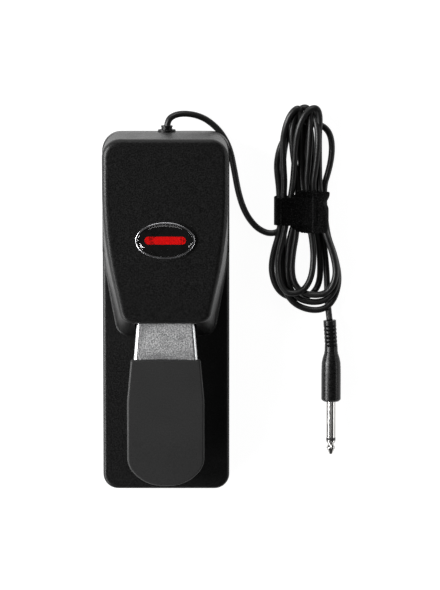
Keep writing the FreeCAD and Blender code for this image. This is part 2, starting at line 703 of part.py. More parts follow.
def make_pivot():
    body = body_named("pivot_bracket")
    section = sketch_on(body, "XZ_Plane", "-pivot_y")
    sheet_top = "base_height + bracket_sheet"
    inner = "bracket_half - bracket_sheet"
    outline(section, [
        ("-bracket_half", "base_height", None), ("bracket_half", "base_height", None),
        ("bracket_half", "bracket_top", None), (inner, "bracket_top", None),
        (inner, sheet_top, None), ("-(%s)" % inner, sheet_top, None),
        ("-(%s)" % inner, "bracket_top", None), ("-bracket_half", "bracket_top", None)])
    pad(body, section, "bracket_length", symmetric=True)
    fillet(body, lambda edge: flat_at(value("bracket_top"))(edge) and edge.Length < 2.5, "ear_radius")
    bores = sketch_on(body, "YZ_Plane")
    circle(bores, "pivot_y", "pivot_z", "pin_radius")
    pocket(body, bores, "base_width", symmetric=True)
    drilled = sketch_on(body, "XY_Plane", sheet_top)
    for across, along in BRACKET_SCREWS:
        circle(drilled, across, along, "clear_hole_radius")
    pocket(body, drilled)
    node("pivot_bracket", body)
    screws("bracket_screws", BRACKET_SCREWS, sheet_top, "bracket_screw_length", upward=False)

    node("pivot_pin", cylinder("pivot_pin", "pin_radius", "pin_length", "-pin_length / 2", "pivot_y",
                               "pivot_z", *SIDEWAYS))
    made = []
    for side, from_x in (("right", "bracket_half"), ("left", "-bracket_half - clip_sheet")):
        washer = cylinder("clip_disc_" + side, "clip_radius", "clip_sheet", from_x,
                          "pivot_y", "pivot_z", *SIDEWAYS)
        bore = cylinder("clip_bore_" + side, "pin_radius", "clip_sheet", from_x,
                        "pivot_y", "pivot_z", *SIDEWAYS)
        slot = box("clip_slot_" + side, ("clip_sheet", "pin_radius * 1.2", "clip_radius * 2"), from_x,
                   "pivot_y - pin_radius * 0.6", "pivot_z - clip_radius * 2")
        made.append(cut("clip_" + side, washer, fuse("clip_gap_" + side, [bore, slot])))
    node("pin_clips", group("pin_clips", made))


# ---------------------------------------------------------------- spring, stops and switch

def make_spring():
    helix = document.addObject("Part::Helix", "spring_path")
    length = "lever_top - lever_sheet - base_height - seat_floor - 0.1"
    helix.setExpression("Pitch", bound("(%s - 2 * spring_wire) / spring_turns" % length))
    helix.setExpression("Height", bound("%s - 2 * spring_wire" % length))
    helix.setExpression("Radius", bound("spring_radius"))
    place(helix, "0", "spring_y", "base_height + seat_floor + spring_wire")
    section = document.addObject("Part::Circle", "spring_section")
    section.setExpression("Radius", bound("spring_wire"))
    place(section, "spring_radius", "spring_y", "base_height + seat_floor + spring_wire",
          Vector(1, 0, 0), 90)
    coil = document.addObject("Part::Sweep", "return_spring")
    coil.Sections = [section]
    coil.Spine = (helix, [])
    coil.Solid = True
    coil.Frenet = True
    node("return_spring", coil)

    seat = cylinder("seat_block", "seat_radius", "seat_height", "0", "spring_y", "base_height")
    cup = cylinder("seat_cup", "spring_radius + 1.1", "seat_height", "0", "spring_y",
                   "base_height + seat_floor")
    hollow = cut("seat_hollow", seat, cup)
    stub = cylinder("seat_stub", "spring_radius - spring_wire - 0.6", "seat_height + 2", "0", "spring_y",
                    "base_height")
    node("spring_seat", fuse("spring_seat", [hollow, stub]))


def make_stops():
    rests = []
    for side in ("", "-"):
        rests.append(cylinder("rest_bumper_%d" % len(rests), "post_radius", "bumper_height",
                              side + "rest_post_x", "rest_post_y",
                              "lever_top - lever_depth - bumper_height"))
    node("rest_bumpers", group("rest_bumpers", rests))
    node("travel_stop", box("travel_stop", ("stop_half * 2", "stop_length", "stop_top - base_height"),
                            "-stop_half", "stop_y - stop_length / 2", "base_height"))


def make_switch():
    board = body_named("circuit_board")
    plan = sketch_on(board, "XY_Plane", "board_z")
    rectangle(plan, "-board_half", "board_half", "board_front_y", "board_rear_y", "1")
    for across, along in BOARD_SCREWS:
        circle(plan, across, along, "clear_hole_radius")
    legs = [(across, "switch_y") for across in ("-leg_pitch", "0", "leg_pitch")]
    pads = [(across, "board_rear_y - wire_pad_inset") for across in ("-wire_pad_x", "wire_pad_x")]
    for across, along in legs + pads:
        circle(plan, across, along, "leg_hole_radius")
    pad(board, plan, "board_sheet")
    node("circuit_board", board)
    screws("board_screws", BOARD_SCREWS, "board_z + board_sheet", "board_screw_length",
           upward=False)

    body = body_named("switch_body")
    plan = sketch_on(body, "XY_Plane", "board_z + board_sheet")
    rectangle(plan, "-switch_length / 2", "switch_length / 2", "switch_y - switch_width / 2",
              "switch_y + switch_width / 2", "0.6")
    pad(body, plan, "switch_height")
    well = sketch_on(body, "XY_Plane", "board_z + board_sheet + switch_height")
    circle(well, "0", "switch_y", "plunger_radius + 0.15")
    pocket(body, well, "plunger_well")
    node("switch_body", body)
    pins = [box("switch_leg_%d" % row, ("leg_width", "leg_sheet", "pin_leg"),
                "%s - leg_width / 2" % across, "switch_y - leg_sheet / 2",
                "board_z + board_sheet - pin_leg") for row, (across, _) in enumerate(legs)]
    node("switch_legs", group("switch_legs", pins))
    plunger_top = "lever_top - lever_sheet - plunger_gap"
    plunger_low = "board_z + board_sheet + switch_height - plunger_root"
    node("switch_plunger", cylinder("switch_plunger", "plunger_radius",
                                    "%s - (%s)" % (plunger_top, plunger_low),
                                    "0", "switch_y", plunger_low))


# ---------------------------------------------------------------- lead, hank and plug

LONGEST_BEND = 0.45  # how much of a run the bend at one of its ends may take


def tube(name, route, radius):
    """A round lead along straight runs joined by tangent arcs, as large as the runs allow."""
    points = [Vector(*point) for point in route]
    edges = []
    length = 0.0
    start = points[0]
    for here in range(1, len(points) - 1):
        point = points[here]
        back, ahead = points[here - 1] - point, points[here + 1] - point
        shorter = min(back.Length, ahead.Length)
        half_turn = (math.pi - back.getAngle(ahead)) / 2
        reach = LONGEST_BEND * shorter
        bend = reach / math.tan(half_turn)
        back.normalize()
        ahead.normalize()
        arc_start, arc_end = point + back * reach, point + ahead * reach
        middle = point + (back + ahead).normalize() * (bend / math.cos(half_turn) - bend)
        edges.append(Part.LineSegment(start, arc_start).toShape())
        edges.append(Part.Arc(arc_start, middle, arc_end).toShape())
        length += (arc_start - start).Length + bend * 2 * half_turn
        start = arc_end
    edges.append(Part.LineSegment(start, points[-1]).toShape())
    length += (points[-1] - start).Length
    path = Part.Wire(edges)
    section = Part.Wire(Part.Circle(points[0], points[1] - points[0], radius).toShape())
    shape = path.makePipeShell([section], True, False)
    item = document.addObject("Part::Feature", name)
    item.Shape = shape
    expected = math.pi * radius ** 2 * length
    print("%s: length %.1f mm" % (name, length))
    if abs(shape.Volume / expected - 1) > 0.02:
        raise RuntimeError(name + " has the wrong volume")
    return node(name, item)


def make_gland():
    body = body_named("strain_relief")
    profile = sketch_on(body, "XY_Plane")
    outline(profile, [
        ("gland_bore_radius", "-wall - gland_tail", None),
        ("gland_collar_radius", "-wall - gland_tail", None),
        ("gland_collar_radius", "-wall", None), ("gland_neck_radius", "-wall", None),
        ("gland_neck_radius", "0", None), ("gland_foot_radius", "0", None),
        ("gland_foot_radius", "gland_foot", "0.5"), ("gland_neck_radius", "gland_foot", None),
        ("gland_neck_radius", "gland_foot + gland_neck - gland_rim", None),
        ("gland_rim_radius", "gland_foot + gland_neck - gland_rim", "0.15"),
        ("gland_rim_radius", "gland_foot + gland_neck", "0.3"),
        ("gland_bore_radius", "gland_foot + gland_neck", None)])
    revolve(body, profile)
    place(body, "gland_x", "base_length / 2", "gland_z")
    node("strain_relief", body)


def make_leads():
    radius = value("lead_radius")
    tube("cord_lead", LEAD_ROUTE, radius)
    tube("cord_tail", TAIL_ROUTE, radius)

    inner_end = "base_length / 2 - wall - gland_tail - inner_lead"
    node("cord_inner_end", cylinder("cord_inner_end", "lead_radius", "base_length / 2 - (%s)" % inner_end,
                                    "gland_x", inner_end, "gland_z", Vector(1, 0, 0), -90))
    start = Vector(value("gland_x"), value(inner_end), value("gland_z"))
    hole = Vector(0, value("wire_hole_y"), value("gland_z"))
    pad_at = Vector(0, value("board_rear_y - wire_pad_inset"), value("board_z + board_sheet"))
    for name, side in (("signal_wire", 1), ("return_wire", -1)):
        wire = [
            start + Vector(side * 0.8, 0, 0), start + Vector(side * 0.9, -3, 0.3),
            hole + Vector(side * 1.6, 1.4, 5), hole + Vector(side * 2.0, 0.4, 12),
            Vector(side * 2.4, hole.y - 2.6, pad_at.z + 2.6),
            pad_at + Vector(side * 3.0, 2.4, 3.6), pad_at + Vector(side * 3.0, 0, 2.4),
            pad_at + Vector(side * value("wire_pad_x"), 0, 0)]
        tube(name, wire, value("wire_radius"))


# The outlines of the hank's two lobes: (x, y, corner radius).
REAR_LOBE = [(74.8, 80.6, None), (107.6, 80.6, None), (114.5, 100, 40), (111.5, 124, 18),
             (97, 141.5, 14), (82, 134.5, 12), (70.8, 112, 30), (70.6, 90, 30)]
FRONT_LOBE = [(71, 50.6, None), (71, 46, 8), (66.4, 27, 20), (72.5, 11, 18), (87, -5.6, 18),
              (107.2, -2.6, None), (110.2, -2.6, None), (121, 16, 14), (112.5, 44, 20),
              (108.2, 50.6, None)]


def make_hank():
    """The bundle's outer shape: two fanned lobes and the waist that the strap holds."""
    lobes = []
    for name, corners in (("hank_rear", REAR_LOBE), ("hank_front", FRONT_LOBE)):
        lobe = body_named(name)
        plan = sketch_on(lobe, "XY_Plane")
        outline(plan, corners)
        pad(lobe, plan, "hank_height")
        lobes.append(lobe)
    waist_sizes = ("waist_right - waist_left", "waist_length", "hank_height - waist_low")
    waist = box("hank_waist", waist_sizes, "waist_left", "waist_front", "waist_low")
    node("cord_hank", fuse("cord_hank", lobes + [waist]))

    band = body_named("strap_band")
    plan = sketch_on(band, "XY_Plane")
    left, right = "waist_left - strap_wrap", "waist_right + strap_wrap"
    outline(plan, [(left, "strap_left_front", None), (right, "strap_right_front", None),
                   (right, "strap_right_rear", None), (left, "strap_left_rear", None)])
    pad(band, plan, "hank_height + strap_wrap")

    def lengthwise(edge):
        ends = edge.Vertexes[0], edge.Vertexes[-1]
        return abs(ends[0].X - ends[1].X) < 1e-6 and abs(ends[0].Z - ends[1].Z) < 1e-6
    fillet(band, lengthwise, "strap_edge")
    hole = box("strap_hole", waist_sizes, "waist_left", "waist_front", "waist_low")
    node("cable_strap", cut("cable_strap", band, hole))


def plug_piece(name, corners):
    """A piece turned about the plug's axis. Corners are (radius, y)."""
    body = body_named(name)
    profile = sketch_on(body, "XY_Plane")
    outline(profile, corners)
    revolve(body, profile)
    return body


BOOT_WINDOWS = 6  # rows of windows along the boot, above and below; the sides have notches between
WINDOWS_FROM, WINDOW_PITCH = 0.01, 0.147  # as shares of the boot's length, from the plug's cone


def make_boot():
    """The boot: windows between two side bars, then a collar. It leans a little as the lead leaves it."""
    length = "(plug_boot_y - plug_cone_y)"
    barrel = plug_piece("plug_boot_barrel", [
        ("0", "0", None), ("plug_boot_radius", "0", None),
        ("plug_boot_radius", length, "0.4"), ("0", length, None)])
    cuts = []
    for row in range(BOOT_WINDOWS):
        window_y = "%s * %g" % (length, WINDOWS_FROM + WINDOW_PITCH * row)
        notch_y = "%s * %g" % (length, WINDOWS_FROM + WINDOW_PITCH * (row + 0.5))
        window = ("2 * boot_window_half", "boot_slot", "2 * boot_window")
        notch = ("2 * boot_notch", "boot_slot", "2 * boot_notch_half")
        for side, floor in (("above", "plug_boot_radius - boot_window"),
                            ("below", "-plug_boot_radius - boot_window")):
            cuts.append(box("boot_window_%d_%s" % (row, side), window, "-boot_window_half", window_y, floor))
        if row == BOOT_WINDOWS - 1:
            continue
        for side, edge in (("right", "plug_boot_radius - boot_notch"),
                           ("left", "-plug_boot_radius - boot_notch")):
            cuts.append(box("boot_notch_%d_%s" % (row, side), notch, edge, notch_y, "-boot_notch_half"))
    boot = cut("plug_boot", barrel, fuse("boot_cuts", cuts))
    place(boot, "plug_x", "plug_cone_y", "plug_z", Vector(0, 0, 1), value("plug_lean"))
    return boot


# Where the handle's grooves are, from the barrel to the cone: radius and y.
HANDLE_GROOVES = [(6.5, -42.6), (6.45, -39.6), (6.37, -37.3), (5.95, -34.0), (4.72, -29.4)]
BARREL_GROOVES = 3


def grooved(rows):
    corners = []
    for radius, along in rows:
        outer, inner = "%g" % radius, "%g - plug_groove" % radius
        front, rear = "%g - plug_groove" % along, "%g + plug_groove" % along
        corners += [(outer, front, None), (inner, front, None), (inner, rear, None), (outer, rear, None)]
    return corners


def make_plug():
    handle = plug_piece("plug_barrel", [
        ("0", "plug_face_y", None), ("plug_handle_radius - 1.2", "plug_face_y", None),
        ("plug_handle_radius", "plug_face_y + 1.2", "0.6")]
        + grooved(HANDLE_GROOVES[:BARREL_GROOVES])
        + [("6.25", "plug_barrel_y", None)]
        + grooved(HANDLE_GROOVES[BARREL_GROOVES:])
        + [("plug_boot_radius + 0.15", "plug_cone_y - 3.4", None),
           ("plug_boot_radius + 0.05", "plug_cone_y", None),
           ("plug_boot_radius - 0.3", "plug_cone_y + 0.2", None), ("0", "plug_cone_y + 0.2", None)])
    place(handle, "plug_x", "0", "plug_z")
    node("plug_handle", fuse("plug_handle", [make_boot(), handle]))

    core, shaft = "plug_core_radius", "plug_shaft_radius"
    ring_front = "plug_ring_y - plug_ring"
    tip_corners = [
        ("0", "plug_face_y", None), (core, "plug_face_y", None), (core, ring_front, None),
        (shaft, ring_front, None), (shaft, "%s - 1" % ring_front, "0.3"),
        ("plug_waist_radius", "%s - 2.6" % ring_front, "0.5"), (shaft, "%s - 4.8" % ring_front, "0.8"),
        ("0.9", "plug_tip_y", "0.5"), ("0", "plug_tip_y", None)]
    for name, corners in (
            ("plug_sleeve", [(core, "plug_face_y", None), (shaft, "plug_face_y", None),
                             (shaft, "plug_ring_y", None), (core, "plug_ring_y", None)]),
            ("plug_insulator", [(core, "plug_ring_y", None), (shaft, "plug_ring_y", None),
                                (shaft, ring_front, None), (core, ring_front, None)]),
            ("plug_tip", tip_corners)):
        piece = plug_piece(name, corners)
        place(piece, "plug_x", "0", "plug_z")
        node(name, piece)


# ---------------------------------------------------------------- all together

def check_and_write():
    document.recompute()
    for item in document.Objects:
        if "Invalid" in item.State or "Error" in item.State:
            raise RuntimeError("%s: %s" % (item.Name, item.State))
    os.makedirs("parts", exist_ok=True)
    for name, item in nodes.items():
        shape = item.Shape
        if shape.isNull() or not shape.isValid() or not shape.Solids:
            raise RuntimeError(name + " has no valid solid")
        shape.exportStep("parts/%s.step" % name)
        extent = shape.BoundBox
        print("%-16s %d solids %9.1f mm3  x %.1f %.1f  y %.1f %.1f  z %.1f %.1f" % (
            name, len(shape.Solids), shape.Volume, extent.XMin, extent.XMax, extent.YMin, extent.YMax,
            extent.ZMin, extent.ZMax))


fill_sheet()
make_base_shell()
make_bottom()
make_top_cover()
make_badge()
make_lever()
make_treadle()
make_bushes()
make_pivot()
make_spring()
make_stops()
make_switch()
make_gland()
make_leads()
make_hank()
make_plug()
check_and_write()
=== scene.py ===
"""The looks of the sustain pedal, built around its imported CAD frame. Metres, in the frame's axes."""
import math
import random

import bmesh
import bpy
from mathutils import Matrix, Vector


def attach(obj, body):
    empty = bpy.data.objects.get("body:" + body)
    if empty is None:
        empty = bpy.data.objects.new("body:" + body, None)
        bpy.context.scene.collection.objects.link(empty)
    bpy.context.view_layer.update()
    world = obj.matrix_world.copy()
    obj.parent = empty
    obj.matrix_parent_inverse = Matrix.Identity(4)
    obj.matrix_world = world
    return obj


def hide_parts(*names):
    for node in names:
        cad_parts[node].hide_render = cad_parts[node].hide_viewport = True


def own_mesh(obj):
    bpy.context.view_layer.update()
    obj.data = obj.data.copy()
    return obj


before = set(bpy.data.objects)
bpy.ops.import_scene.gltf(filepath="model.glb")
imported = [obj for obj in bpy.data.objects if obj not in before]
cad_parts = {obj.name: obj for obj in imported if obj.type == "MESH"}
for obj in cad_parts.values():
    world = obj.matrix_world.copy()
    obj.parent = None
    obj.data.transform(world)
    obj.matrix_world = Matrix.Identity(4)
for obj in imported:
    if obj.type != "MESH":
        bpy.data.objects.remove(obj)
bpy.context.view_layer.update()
MM = 0.001
scene = bpy.context.scene


def nodes(*names):
    return [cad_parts[name] for name in names]


# ---------------------------------------------------------------- camera

CAMERA_AIM = Vector((35.77, 8.81, 0)) * MM
CAMERA_DISTANCE = 2.6
CAMERA_TILT = math.radians(7)  # the camera stands over the toe end and leans towards the rear
CAMERA_LENS = 237.66
SENSOR_HEIGHT = 36


def make_camera():
    data = bpy.data.cameras.new("view")
    data.sensor_fit = "VERTICAL"
    data.sensor_height = SENSOR_HEIGHT
    data.lens = CAMERA_LENS
    data.clip_end = 10
    camera = bpy.data.objects.new("view", data)
    away = Vector((0, math.sin(CAMERA_TILT), math.cos(CAMERA_TILT)))
    camera.location = CAMERA_AIM + away * CAMERA_DISTANCE
    camera.rotation_euler = (-CAMERA_TILT, 0, 0)
    scene.collection.objects.link(camera)
    scene.camera = camera


# ---------------------------------------------------------------- shader building

NOISE_LOW = 0.3
NOISE_HIGH = 0.7

class Shader:
    """A material under construction. Positions are the object's own, so they stay put as it moves."""

    def __init__(self, name, **settings):
        self.material = bpy.data.materials.new(name)
        self.material.use_nodes = True
        self.tree = self.material.node_tree
        self.surface = self.tree.nodes["Principled BSDF"]
        self.position = self.node("ShaderNodeTexCoord").outputs["Object"]
        self.split = None
        for socket, value in settings.items():
            self.surface.inputs[socket.replace("_", " ")].default_value = value

    def node(self, kind, **settings):
        made = self.tree.nodes.new(kind)
        for key, value in settings.items():
            setattr(made, key, value)
        return made

    def feed(self, socket, value):
        """Link an output to a socket, or set the socket's own value."""
        if isinstance(value, bpy.types.NodeSocket):
            self.tree.links.new(value, socket)
        elif socket.type == "RGBA" and isinstance(value, (int, float)):
            socket.default_value = (value, value, value, 1)
        else:
            socket.default_value = value

    def set(self, name, value):
        self.feed(self.surface.inputs[name], value)

    def axis(self, letter):
        if self.split is None:
            self.split = self.node("ShaderNodeSeparateXYZ")
            self.feed(self.split.inputs[0], self.position)
        return self.split.outputs[letter]

    def math(self, operation, first, second=0.0):
        made = self.node("ShaderNodeMath", operation=operation)
        self.feed(made.inputs[0], first)
        self.feed(made.inputs[1], second)
        return made.outputs[0]

    def stretched(self, scale):
        made = self.node("ShaderNodeMapping")
        self.feed(made.inputs["Vector"], self.position)
        made.inputs["Scale"].default_value = scale
        return made.outputs[0]

    def noise(self, size, detail=3.0, roughness=0.55, along=None):
        """Noise whose blobs are `size` metres across; `along` stretches it by axis."""
        made = self.node("ShaderNodeTexNoise")
        self.feed(made.inputs["Vector"], self.stretched(along) if along else self.position)
        made.inputs["Scale"].default_value = 1 / size
        made.inputs["Detail"].default_value = detail
        made.inputs["Roughness"].default_value = roughness
        return made.outputs["Fac"]

    def cells(self, size, feature="F1", along=None):
        made = self.node("ShaderNodeTexVoronoi", feature=feature)
        self.feed(made.inputs["Vector"], self.stretched(along) if along else self.position)
        made.inputs["Scale"].default_value = 1 / size
        return made.outputs["Distance"]

    def spread(self, value, low, high, to_low=0.0, to_high=1.0, smooth=False):
        """Map low..high onto to_low..to_high, held at both ends."""
        made = self.node("ShaderNodeMapRange", clamp=True)
        made.interpolation_type = "SMOOTHSTEP" if smooth else "LINEAR"
        self.feed(made.inputs["Value"], value)
        limits = {"From Min": low, "From Max": high, "To Min": to_low, "To Max": to_high}
        for socket, number in limits.items():
            self.feed(made.inputs[socket], number)
        return made.outputs["Result"]

    def over_noise(self, noise, to_low=0.0, to_high=1.0):
        """Map the range that nearly all of a noise lies in onto to_low..to_high."""
        return self.spread(noise, NOISE_LOW, NOISE_HIGH, to_low, to_high)

    def blend(self, amount, first, second):
        """Mix two colours or greys."""
        made = self.node("ShaderNodeMix", data_type="RGBA")
        self.feed(made.inputs["Factor"], amount)
        self.feed(made.inputs["A"], rgba(first))
        self.feed(made.inputs["B"], rgba(second))
        return made.outputs["Result"]

    def bump(self, height, depth, before=None):
        """A bump whose full range is `depth` metres deep."""
        made = self.node("ShaderNodeBump")
        made.inputs["Strength"].default_value = 1
        made.inputs["Distance"].default_value = depth
        self.feed(made.inputs["Height"], height)
        if before is not None:
            self.feed(made.inputs["Normal"], before)
        return made.outputs["Normal"]


def rgba(colour):
    if isinstance(colour, (int, float)):
        return (colour, colour, colour, 1)
    if isinstance(colour, tuple) and len(colour) == 3:
        return colour + (1,)
    return colour


# ---------------------------------------------------------------- materials

SPECKLE = 0.9 * MM  # the size of the fine mottle that plastic, rubber and blasted metal share

def moulded_plastic(name, dark, light, gloss, grain=0.45 * MM, depth=0.03 * MM):
    """Plastic with a spark-eroded grain: fine pits, a fine mottle and uneven gloss."""
    shader = Shader(name, Specular_IOR_Level=0.36)
    patches = shader.noise(9 * MM, 4)
    pits = shader.noise(grain, 2, 0.7)
    speckle = shader.noise(SPECKLE, 2, 0.75)
    shader.set("Base Color", shader.blend(shader.spread(speckle, 0.40, 0.62), dark, light))
    uneven = shader.math("ADD", shader.spread(speckle, 0.38, 0.64, -0.05, 0.07),
                         shader.over_noise(patches, -0.015, 0.02))
    shader.set("Roughness", shader.math("ADD", uneven, gloss))
    coarse = shader.bump(shader.cells(grain * 2.2), depth)
    shader.set("Normal", shader.bump(pits, depth, coarse))
    return shader.material


def rubber(name, dark, light, gloss, grain=0.5 * MM, depth=0.03 * MM):
    """Dark rubber: a matt skin with a fine mottle and broad rubbed patches."""
    shader = Shader(name, Specular_IOR_Level=0.4)
    rubbed = shader.noise(24 * MM, 2, 0.5)
    speckle = shader.noise(SPECKLE, 3, 0.75)
    shader.set("Base Color", shader.blend(shader.spread(speckle, 0.36, 0.66), dark, light))
    shader.set("Roughness", shader.spread(rubbed, 0.32, 0.68, gloss - 0.02, gloss + 0.03))
    shader.set("Normal", shader.bump(shader.noise(grain, 3, 0.6), depth))
    return shader.material


def plated(name, dark, light, low_gloss, high_gloss, size=2.4 * MM, brushed=None, depth=0.004 * MM):
    """A plated metal with a faint haze; brushed=(x, y, z) draws the haze out into fine lines."""
    shader = Shader(name, Metallic=1.0)
    haze = shader.noise(size, 5, 0.62, along=brushed)
    shader.set("Base Color", shader.blend(shader.over_noise(haze), dark, light))
    shader.set("Roughness", shader.over_noise(haze, low_gloss, high_gloss))
    shader.set("Normal", shader.bump(shader.noise(size / 5, 3, along=brushed), depth))
    return shader.material


LEVER_FRONT = -28 * MM  # y where the bare part of the lever starts, and where it goes into the cover
LEVER_MOUTH = -5 * MM
LEVER_HALF_FRONT = 20.9 * MM
LEVER_HALF_MOUTH = 19.0 * MM
LEFT_BAND = 2.5 * MM
RIGHT_BAND = 1.9 * MM
BAND_FADE = 0.3 * MM


def lever_metal(name):
    """Chromed steel: the blasted face between two polished bands that follow the lever's sides, with painted
    shade as broad darker blotches across the face.
    """
    shader = Shader(name, Metallic=1.0)
    half_width = shader.spread(shader.axis("Y"), LEVER_FRONT, LEVER_MOUTH, LEVER_HALF_FRONT, LEVER_HALF_MOUTH)
    left = shader.math("ADD", shader.axis("X"), half_width)
    right = shader.math("SUBTRACT", half_width, shader.axis("X"))
    face = shader.math("MULTIPLY", shader.spread(left, LEFT_BAND, LEFT_BAND + BAND_FADE),
                       shader.spread(right, RIGHT_BAND, RIGHT_BAND + BAND_FADE))
    blast = shader.noise(SPECKLE, 2, 0.8)
    # painted shade: this broad noise darkens the blasted face in blotches, and it also varies the polished
    # bands' gloss
    painted_shade_and_gloss = shader.noise(11 * MM, 3, 0.55)
    grain = shader.spread(blast, 0.42, 0.58)
    satin = shader.blend(grain, (0.46, 0.46, 0.47), (0.97, 0.97, 0.97))
    # painted shade: darker blotches painted over the blasted face
    satin = shader.blend(shader.spread(painted_shade_and_gloss, 0.46, 0.66, 0, 0.6), satin, (0.34, 0.34, 0.35))
    shader.set("Base Color", shader.blend(face, (0.94, 0.95, 0.96), satin))
    polished = shader.over_noise(painted_shade_and_gloss, 0.26, 0.36)
    blasted = shader.over_noise(blast, 0.46, 0.60)
    shader.set("Roughness", shader.blend(face, polished, blasted))
    shader.set("Normal", shader.bump(shader.math("MULTIPLY", grain, face), 0.05 * MM))
    return shader.material


def gloss_plastic(name, dark, light, gloss=0.12):
    """Smooth, shiny plastic or lacquer with a faint ripple."""
    shader = Shader(name, Coat_Weight=0.4, Coat_Roughness=0.05)
    patches = shader.noise(4 * MM, 4)
    shader.set("Base Color", shader.blend(shader.over_noise(patches), dark, light))
    shader.set("Roughness", shader.over_noise(patches, gloss, gloss + 0.08))
    shader.set("Normal", shader.bump(shader.noise(1.5 * MM, 2), 0.004 * MM))
    return shader.material


def clear_resin(name):
    """The poured dome over the badge: a thin clear gloss that lets the badge show through."""
    shader = Shader(name, Alpha=0.22, IOR=2.4)
    swirl = shader.noise(5 * MM, 2)
    shader.set("Base Color", shader.blend(swirl, 0.001, 0.004))
    shader.set("Roughness", shader.over_noise(swirl, 0.02, 0.05))
    shader.set("Normal", shader.bump(shader.noise(7 * MM, 1), 0.01 * MM))
    return shader.material


# where a sewn line and the slot's mouth part the pile, and how wide the worn line is
PILE_LINES = (76.0 * MM, 97.2 * MM)
LINE_CORE = 0.25 * MM
LINE_EDGE = 0.6 * MM
LINT_SHOWS = 0.6
LINES_SHOW = 0.8


def pile_line(shader, place):
    """1 along a line across the strap at x = place, fading to 0 beside it."""
    off = shader.math("ABSOLUTE", shader.math("SUBTRACT", shader.axis("X"), place))
    return shader.spread(off, LINE_CORE, LINE_EDGE, 1, 0)


def hook_and_loop(name):
    """Black loop pile: tangled fibres with pale flecks of lint and two worn lines."""
    shader = Shader(name, Specular_IOR_Level=0.12, Sheen_Weight=0.05, Sheen_Roughness=0.5)
    tangle = shader.noise(1.0 * MM, 4, 0.75)
    loops = shader.cells(0.9 * MM)
    lint = shader.spread(shader.noise(0.8 * MM, 2, 0.8), 0.58, 0.68)
    pile = shader.blend(shader.spread(tangle, 0.45, 0.62), 0.0015, 0.022)
    lines = shader.math("MAXIMUM", *[pile_line(shader, place) for place in PILE_LINES])
    broken = shader.math("MULTIPLY", lines, shader.spread(tangle, 0.42, 0.56))
    flecks = shader.math("MULTIPLY", lint, LINT_SHOWS)
    worn = shader.math("MAXIMUM", flecks, shader.math("MULTIPLY", broken, LINES_SHOW))
    shader.set("Base Color", shader.blend(worn, pile, 0.09))
    shader.set("Roughness", shader.over_noise(tangle, 0.75, 0.95))
    shader.set("Normal", shader.bump(loops, 0.25 * MM, shader.bump(tangle, 0.25 * MM)))
    return shader.material


WEAVE_SCALE = 1400  # bricks of the weave per metre


def laminate(name):
    """Green solder mask over a glass weave and copper tracks."""
    shader = Shader(name, Coat_Weight=0.3)
    weave = shader.node("ShaderNodeTexBrick")
    shader.feed(weave.inputs["Vector"], shader.position)
    weave.inputs["Scale"].default_value = WEAVE_SCALE
    weave.inputs["Color1"].default_value = (0.03, 0.17, 0.07, 1)
    weave.inputs["Color2"].default_value = (0.04, 0.21, 0.09, 1)
    weave.inputs["Mortar"].default_value = (0.025, 0.12, 0.05, 1)
    tracks = shader.spread(shader.cells(3.2 * MM, "DISTANCE_TO_EDGE"), 0.06, 0.09)
    shader.set("Base Color", shader.blend(tracks, (0.09, 0.26, 0.09), weave.outputs["Color"]))
    shader.set("Roughness", shader.over_noise(shader.noise(2 * MM), 0.3, 0.42))
    shader.set("Normal", shader.bump(tracks, 0.03 * MM))
    return shader.material


def make_materials():
    return {
        "housing_plastic": moulded_plastic("housing_plastic", 0.003, 0.012, 0.38),
        "plated_steel": plated("plated_steel", (0.42, 0.43, 0.45), (0.60, 0.60, 0.60), 0.28, 0.42, 5 * MM),
        "sole_rubber": rubber("sole_rubber", 0.014, 0.030, 0.72),
        "screw_steel": plated("screw_steel", (0.40, 0.40, 0.41), (0.58, 0.58, 0.60), 0.25, 0.40, 1.2 * MM),
        "bright_chrome": plated("bright_chrome", (0.62, 0.62, 0.64), (0.74, 0.74, 0.76), 0.16, 0.24, 6 * MM,
                                None, 0.001 * MM),
        "badge_black": gloss_plastic("badge_black", 0.004, 0.008),
        "badge_red": gloss_plastic("badge_red", (0.80, 0.001, 0.001), (0.95, 0.003, 0.003)),
        "clear_resin": clear_resin("clear_resin"),
        "lever_chrome": lever_metal("lever_chrome"),
        "treadle_rubber": rubber("treadle_rubber", 0.018, 0.029, 0.52, 0.35 * MM, 0.012 * MM),
        "nylon": moulded_plastic("nylon", (0.62, 0.61, 0.56), (0.74, 0.72, 0.66), 0.40),
        "pin_steel": plated("pin_steel", (0.45, 0.45, 0.46), (0.62, 0.62, 0.63), 0.18, 0.30, 1.5 * MM,
                            (0.1, 1, 1)),
        "spring_steel": plated("spring_steel", (0.28, 0.28, 0.29), (0.45, 0.45, 0.46), 0.25, 0.40, 1 * MM),
        "board_laminate": laminate("board_laminate"),
        "switch_plastic": gloss_plastic("switch_plastic", 0.010, 0.020, 0.25),
        "contact_brass": plated("contact_brass", (0.62, 0.47, 0.20), (0.78, 0.62, 0.32), 0.20, 0.35,
                                0.8 * MM),
        "cord_rubber": rubber("cord_rubber", 0.0025, 0.006, 0.40, 0.8 * MM, 0.006 * MM),
        "red_insulation": gloss_plastic("red_insulation", (0.45, 0.015, 0.012), (0.60, 0.030, 0.025), 0.3),
        "strap_fabric": hook_and_loop("strap_fabric"),
        "plug_plastic": moulded_plastic("plug_plastic", 0.002, 0.006, 0.29, 0.5 * MM, 0.002 * MM),
        "plug_nickel": plated("plug_nickel", (0.66, 0.65, 0.63), (0.80, 0.79, 0.77), 0.08, 0.16, 3 * MM,
                              (1, 0.15, 1), 0.001 * MM),
    }


def dress_frame(materials):
    """Give every node of the frame the detailed material that goes by its slot's name."""
    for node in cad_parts.values():
        for slot in node.material_slots:
            slot.material = materials[slot.material.name.split(".")[0]]


# ---------------------------------------------------------------- cord

CORD_RADIUS = 2.1  # in mm, as all of this section but for the length

